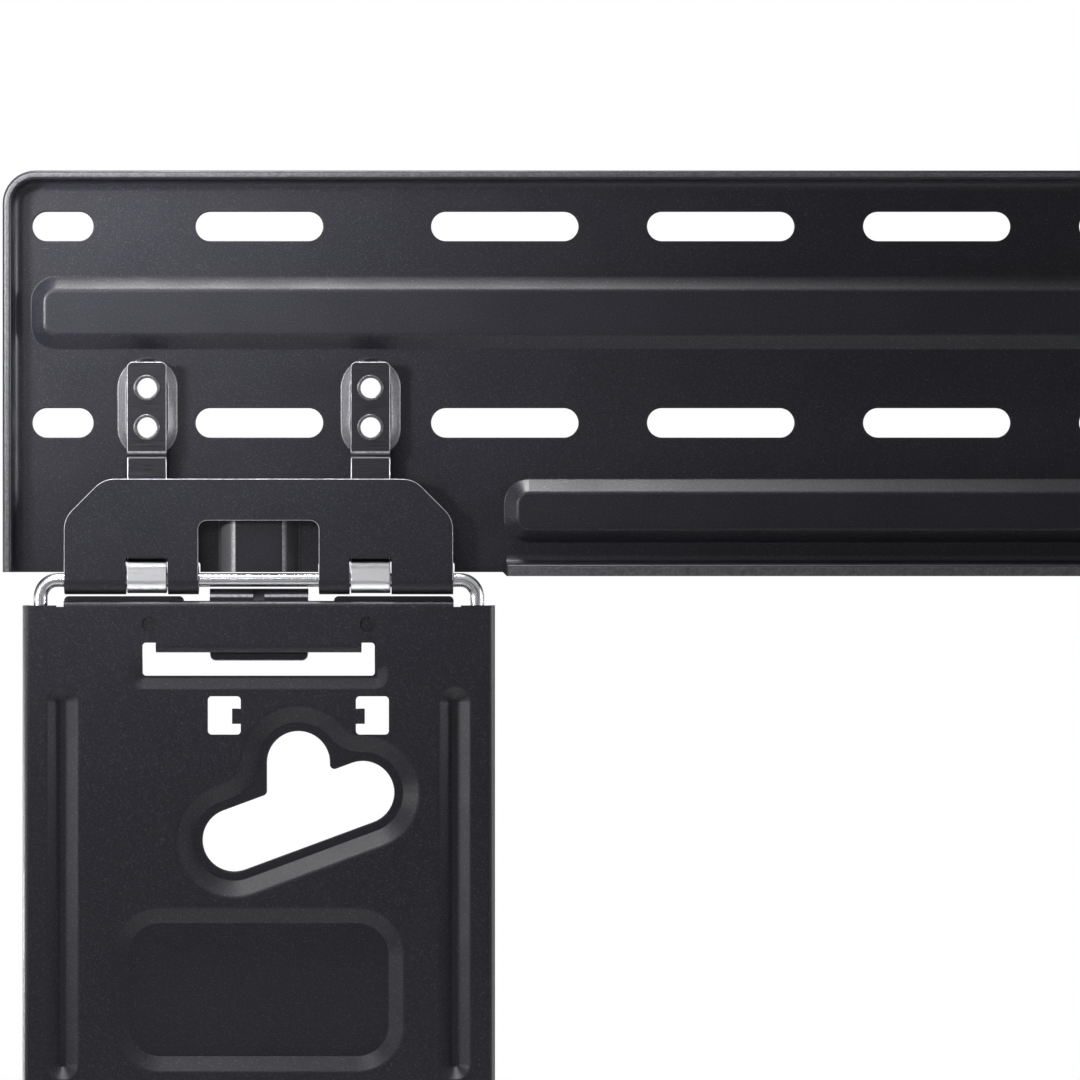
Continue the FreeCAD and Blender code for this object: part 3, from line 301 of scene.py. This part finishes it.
def worn_edge_with_highlight():
    """Sheared edge where the coat is thin and the steel shines through, painted lighter still as a highlight
    along the edge.
    """
    material, tree, shader = node_material("worn_sheet_edge_highlight")
    wear_and_sheen = object_noise(tree, EDGE_WEAR_AND_HIGHLIGHT_FINENESS)
    colour = two_tone(tree, wear_and_sheen, (0.12, 0.12, 0.13), (0.22, 0.22, 0.24))
    tree.links.new(colour, shader.inputs["Base Color"])
    shader.inputs["Metallic"].default_value = 0.5
    shader.inputs["Roughness"].default_value = WORN_AND_HIGHLIGHT_ROUGHNESS
    return material


def painted_highlight_coat(name, dark, light):
    """Coat made lighter in fine patches, as a painted highlight."""
    material, tree, shader = node_material(name)
    wear_and_sheen = object_noise(tree, PATCHY_FINENESS, detail=3.0)
    tree.links.new(patchy_tone(tree, wear_and_sheen, dark, light), shader.inputs["Base Color"])
    shader.inputs["Roughness"].default_value = WORN_AND_HIGHLIGHT_ROUGHNESS
    return material


def stiffener_flank():
    """Side of a stiffener: a painted highlight along its crest, and plain coat below it."""
    material, tree, shader = node_material("stiffener_flank")
    wear_and_sheen = object_noise(tree, PATCHY_FINENESS, detail=3.0)
    plain = patchy_tone(tree, wear_and_sheen, COAT_HOLLOW, COAT_GRAIN_TOP)
    # Tones of the painted highlight along the crest.
    light = patchy_tone(tree, wear_and_sheen, COAT_CREST_HIGHLIGHT_LOW, COAT_CREST_HIGHLIGHT_HIGH)
    off_arm = off_arm_socket(tree, object_place(tree)["X"])
    crest = value_range(tree, off_arm, STIFFENER_CREST - CREST_FADE, STIFFENER_CREST + CREST_FADE, 1.0, 0.0)
    tree.links.new(blend(tree, crest, plain, light), shader.inputs["Base Color"])
    shader.inputs["Roughness"].default_value = WORN_AND_HIGHLIGHT_ROUGHNESS
    return material


def strap_steel():
    """Brushed strap: painted dark on its flat part as a reflection of dark surroundings, with painted
    highlight lines at its sides and step, and silver where it is rolled round the wire, the silver fading up
    into the dark as a painted shade.
    """
    material, tree, shader = node_material("strap_steel")
    streaks = object_noise(tree, 1.0, detail=3.0, stretch=STREAK_FINENESS)
    # Painted dark reflection on the strap's flat faces.
    dark = two_tone(tree, streaks, (0.030, 0.030, 0.034), (0.050, 0.050, 0.056))
    # Lighter tone of the painted highlight lines at the strap's sides and step.
    edge_glint = two_tone(tree, streaks, (0.28, 0.28, 0.30), (0.34, 0.34, 0.36))
    silver = two_tone(tree, streaks, (0.54, 0.54, 0.56), (0.57, 0.57, 0.59))
    place = object_place(tree)
    height = place["Z"]
    off_strap = distance_from(tree, off_arm_socket(tree, place["X"]), STRAP_PLACE)
    # Masks of the painted highlight lines along the sides and the step.
    side_line = value_range(tree, off_strap, SIDE_LINE_START, SIDE_LINE_FULL, 0.0, 1.0)
    step_line = value_range(tree, height, STRAP_TUCK + STEP_LINE_LOW, STRAP_TUCK, 0.0, 1.0)
    line_top = value_range(tree, height, STRAP_TUCK + STEP_LINE_HIGH, STRAP_TUCK + STEP_LINE_END, 1.0, 0.0)
    line = maths(tree, "MULTIPLY", line_top, maths(tree, "MAXIMUM", side_line, step_line))
    # Painted shade: the silver of the roll fades up into the painted dark reflection.
    rolled = value_range(tree, height, STRAP_SILVER_BELOW, STRAP_DARK_REFLECTION_ABOVE, 1.0, 0.0)
    colour = blend(tree, rolled, blend(tree, line, dark, edge_glint), silver)
    tree.links.new(colour, shader.inputs["Base Color"])
    shader.inputs["Metallic"].default_value = 1.0
    roughness = value_range(tree, streaks, NOISE_LOW, NOISE_HIGH, 0.27, 0.33)
    tree.links.new(roughness, shader.inputs["Roughness"])
    bump(tree, shader, streaks, distance=0.002 * MM, strength=0.5)
    return material


def zinc_wire():
    """Bright zinc plate on the hinge wire."""
    material, tree, shader = node_material("zinc_wire")
    shader.inputs["Base Color"].default_value = (0.345, 0.345, 0.36, 1.0)
    shader.inputs["Metallic"].default_value = 1.0
    shader.inputs["Roughness"].default_value = 0.26
    return material


def eyelet_steel():
    """Dark satin steel of the eyelets."""
    material, tree, shader = node_material("eyelet_steel")
    wear_and_sheen = object_noise(tree, EYELET_WEAR_FINENESS)
    colour = two_tone(tree, wear_and_sheen, (0.06, 0.06, 0.065), (0.11, 0.11, 0.12))
    tree.links.new(colour, shader.inputs["Base Color"])
    shader.inputs["Metallic"].default_value = 0.9
    shader.inputs["Roughness"].default_value = 0.34
    bump(tree, shader, wear_and_sheen, distance=0.01 * MM, strength=0.4)
    return material


MATERIALS = {
    "black_powder_coat": powder_coat(),
    "strap_steel": strap_steel(),
    "eyelet_steel": eyelet_steel(),
    "zinc_wire": zinc_wire(),
}
# Worn sheet edges, painted lighter still as a highlight.
EDGE = worn_edge_with_highlight()
# Painted highlight on the rim's crest.
RIM = painted_highlight_coat("painted_highlight_rim", COAT_GRAIN_TOP, COAT_HIGHLIGHT)
# Painted highlight on the flanks of the pads under the straps.
PAD_FLANK = painted_highlight_coat("painted_highlight_flank", COAT_HIGHLIGHT, COAT_HIGHLIGHT_BRIGHT)
# Painted highlight along the stiffener's crest.
STIFFENER = stiffener_flank()


def off_arm_middle(polygon):
    """How far a face lies off the middle of the nearer arm, along the plate."""
    return abs(abs(polygon.center.x) - ARM_PLACE)


def is_sheared_edge(polygon, front_y):
    """Narrow face that leans away from the viewer, just behind the sheet's front."""
    return polygon.center.y < front_y + EDGE_DEPTH and FLAT_LEAN < polygon.normal.y < EDGE_LEAN


def is_leaf_edge(polygon, front_y):
    """Sheared edge of a hinge leaf above its rolled foot."""
    return polygon.center.z > LEAF_ROLL and is_sheared_edge(polygon, front_y)


def is_strap_edge(polygon, front_y):
    """Sheared edge of a strap's upper part, which lies a little deeper than its roll."""
    return polygon.center.z > STRAP_TUCK and is_sheared_edge(polygon, STRAP_FRONT)


def is_rim_crest(polygon, front_y):
    """Foremost line along the plate's rim."""
    return polygon.center.y < front_y + CREST_DEPTH and polygon.normal.y < CREST_LEAN


def leans_sideways(polygon):
    """Front face that slants to the left or to the right."""
    return polygon.normal.y < FLANK_LEAN and abs(polygon.normal.x) > SIDEWAYS_LEAN


def is_pad_flank(polygon, front_y):
    """Side of a pad under a strap."""
    off_strap_middle = abs(off_arm_middle(polygon) - STRAP_PLACE)
    at_strap = off_strap_middle < PAD_HALF_WIDTH and STRAP_TUCK < polygon.center.z < PAD_TOP
    return at_strap and leans_sideways(polygon)


def is_stiffener_flank(polygon, front_y):
    """Side of the stiffener that shows through a leaf's notch."""
    at_stiffener = off_arm_middle(polygon) < STIFFENER_HALF_WIDTH and polygon.center.z < STRAP_TUCK
    return at_stiffener and leans_sideways(polygon)


def dress(node_name, slot_name, *marked_places):
    """Replace a CAD node by a copy of its mesh, with its finish, and other finishes on the faces that carry
    worn edges and painted highlights.
    """
    node = frame["nodes"][node_name]
    piece = bpy.data.objects.new(node_name + "_finished", node.data.copy())
    bpy.context.scene.collection.objects.link(piece)
    piece.data.materials.clear()
    piece.data.materials.append(MATERIALS[slot_name])
    front_y = min(vertex.co.y for vertex in piece.data.vertices)
    for index, (wear_and_sheen, is_marked) in enumerate(marked_places, 1):
        piece.data.materials.append(wear_and_sheen)
        for polygon in piece.data.polygons:
            if is_marked(polygon, front_y):
                polygon.material_index = index
    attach(piece, node["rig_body"])
    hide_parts(node_name)


# Material slot of each kind of node, then its finishes for worn edges and painted highlights, each with the
# test for its faces.
FINISHES = {
    "wall_plate": ("black_powder_coat", (RIM, is_rim_crest), (PAD_FLANK, is_pad_flank),
                   (STIFFENER, is_stiffener_flank)),
    "hinge_leaf": ("black_powder_coat", (EDGE, is_leaf_edge)),
    "strap": ("strap_steel", (EDGE, is_strap_edge)),
    "eyelet": ("eyelet_steel",),
    "wire_bail": ("zinc_wire",),
    "arm_plate": ("black_powder_coat",),
    "head_bracket": ("black_powder_coat", (EDGE, is_sheared_edge)),
}

for node_name in sorted(frame["nodes"]):
    kind = next(word for word in FINISHES if node_name.endswith(word))
    dress(node_name, *FINISHES[kind])


def hang_lamp(lamp, place, target):
    """Put a lamp at its place, turned to its target."""
    holder = bpy.data.objects.new(lamp.name, lamp)
    bpy.context.scene.collection.objects.link(holder)
    holder.location = place
    aim = Vector(target) - Vector(place)
    holder.rotation_euler = aim.to_track_quat("-Z", "Y").to_euler()
    holder.visible_camera = False


def area_light(name, place, target, width, height, power):
    """Oblong lamp that lights evenly over its face."""
    lamp = bpy.data.lights.new(name, "AREA")
    lamp.shape = "RECTANGLE"
    lamp.size = width
    lamp.size_y = height
    lamp.energy = power
    hang_lamp(lamp, place, target)


def soft_spot(name, place, target, cone_deg, power):
    """Spot lamp whose light fades out evenly from the middle of its cone."""
    lamp = bpy.data.lights.new(name, "SPOT")
    lamp.energy = power
    lamp.spot_size = math.radians(cone_deg)
    lamp.spot_blend = 1.0
    lamp.shadow_soft_size = LAMP_RADIUS
    hang_lamp(lamp, place, target)


def make_world():
    """White to the eye and in reflections, and a softer grey as a light."""
    world = bpy.data.worlds.new("studio")
    bpy.context.scene.world = world
    world.use_nodes = True
    tree = world.node_tree
    background = tree.nodes["Background"]
    rays = tree.nodes.new("ShaderNodeLightPath")
    seen = maths(tree, "MAXIMUM", rays.outputs["Is Camera Ray"], rays.outputs["Is Glossy Ray"])
    clear = maths(tree, "MAXIMUM", seen, rays.outputs["Is Transmission Ray"])
    strength = value_range(tree, clear, 0.0, 1.0, WORLD_LIGHT, 1.0)
    tree.links.new(strength, background.inputs["Strength"])
    background.inputs["Color"].default_value = (1.0, 1.0, 1.0, 1.0)


def paint_matt(thing, name, grey):
    """Give a thing of the studio an even matt grey."""
    material, tree, shader = node_material(name)
    shader.inputs["Base Color"].default_value = (grey, grey, grey, 1.0)
    shader.inputs["Roughness"].default_value = 0.9
    thing.data.materials.append(material)


def make_floor():
    """Pale round floor below the arms."""
    deselect_all()
    middle = (0.0, 0.0, cad_low.z - FLOOR_DROP)
    bpy.ops.mesh.primitive_circle_add(vertices=96, radius=FLOOR_RADIUS, fill_type="NGON", location=middle)
    floor = bpy.context.object
    floor.name = "floor"
    # The lamp under the floor reaches the bracket through it.
    floor.visible_shadow = False
    paint_matt(floor, "pale_floor", grey=0.86)


def reflected_card(name, place, tilt_deg, width, height, grey):
    """Card that is seen only in reflections."""
    deselect_all()
    tilt = (math.radians(tilt_deg), 0.0, 0.0)
    bpy.ops.mesh.primitive_plane_add(size=1.0, location=place, rotation=tilt)
    card = bpy.context.object
    card.name = name
    card.scale = (width, height, 1.0)
    paint_matt(card, name, grey)
    card.visible_camera = False
    card.visible_diffuse = False
    card.visible_shadow = False


def make_camera():
    """Camera straight in front, with the photograph's framing."""
    photo_middle = PHOTO_WIDTH / 2
    x = cad_low.x + (photo_middle - PLATE_LEFT_PIXEL) * PIXEL
    z = cad_high.z - (photo_middle - PLATE_TOP_PIXEL) * PIXEL
    camera = bpy.data.cameras.new("camera")
    camera.type = "PERSP"
    camera.sensor_width = SENSOR
    camera.lens = SENSOR * CAMERA_DISTANCE / (PHOTO_WIDTH * PIXEL)
    camera.clip_start = 0.1
    camera.clip_end = 20.0
    holder = bpy.data.objects.new("camera", camera)
    bpy.context.scene.collection.objects.link(holder)
    holder.location = (x, cad_low.y - CAMERA_DISTANCE, z)
    holder.rotation_euler = (math.radians(90.0), 0.0, 0.0)
    bpy.context.scene.camera = holder


make_world()
make_floor()
make_camera()

# Dark cards in front and behind draw the dark lines on the wire and the rolls. A pale one lies below.
reflected_card("front_card", (0.0, -2.4, 0.32), UPRIGHT, width=3.2, height=0.85, grey=0.01)
reflected_card("back_card", (0.0, 0.12, 0.0), UPRIGHT, width=4.8, height=3.0, grey=0.03)
under_place = (0.0, -0.14, cad_low.z - UNDER_CARD_DROP)
reflected_card("under_card", under_place, LYING, width=1.4, height=0.52, grey=0.9)

# Soft spots over the plate's left half. The photograph is palest at its upper left end.
soft_spot("front_glow", (-0.40, -0.85, 0.32), (-0.39, 0.0, 0.14), cone_deg=36.0, power=46.0)
soft_spot("crest_glow", (-0.55, -0.55, 0.55), (-0.36, 0.0, 0.06), cone_deg=34.0, power=22.0)
soft_spot("top_glow", (-0.24, -0.08, 0.65), (-0.18, 0.0, -0.04), cone_deg=50.0, power=52.0)
soft_spot("left_glow", (-0.66, -0.42, 0.10), (-0.25, 0.0, 0.055), cone_deg=22.0, power=84.0)
# Narrow spot from the right, for the slopes round the left hinge that face it.
soft_spot("right_glow", (0.9, -0.30, 0.08), (-0.2, 0.0, 0.0), cone_deg=10.0, power=75.0)
# Two spots that the slopes of the arm's ribs and recess mirror to the camera, and its flat doesn't.
soft_spot("arm_glow", (-0.40, -0.30, 0.43), (-0.2, 0.0, -0.15), cone_deg=23.0, power=12.0)
soft_spot("rib_glow", (-0.75, -0.25, -0.09), (-0.2, 0.0, -0.12), cone_deg=26.0, power=8.0)
# Weak spot close to the line of sight: the light line along the straps' rolls.
soft_spot("roll_glow", (-0.2, -1.5, -0.03), (-0.2, 0.0, -0.065), cone_deg=8.0, power=1.3)
# Wide weak light from below the floor.
area_light("low_fill", (-0.1, -0.16, -0.7), (-0.1, 0.0, 0.0), width=0.9, height=0.2, power=3.5)
# A spot and an oblong lamp a little behind the plate draw the light lines along its outer bends.
soft_spot("left_rim", (-0.8, 0.25, -0.2), (-0.25, 0.0, -0.15), cone_deg=18.0, power=60.0)
area_light("right_rim", (0.8, 0.25, -0.05), (0.2, 0.0, -0.05), width=0.3, height=0.6, power=16.0)

bpy.context.scene.view_settings.view_transform = "Standard"
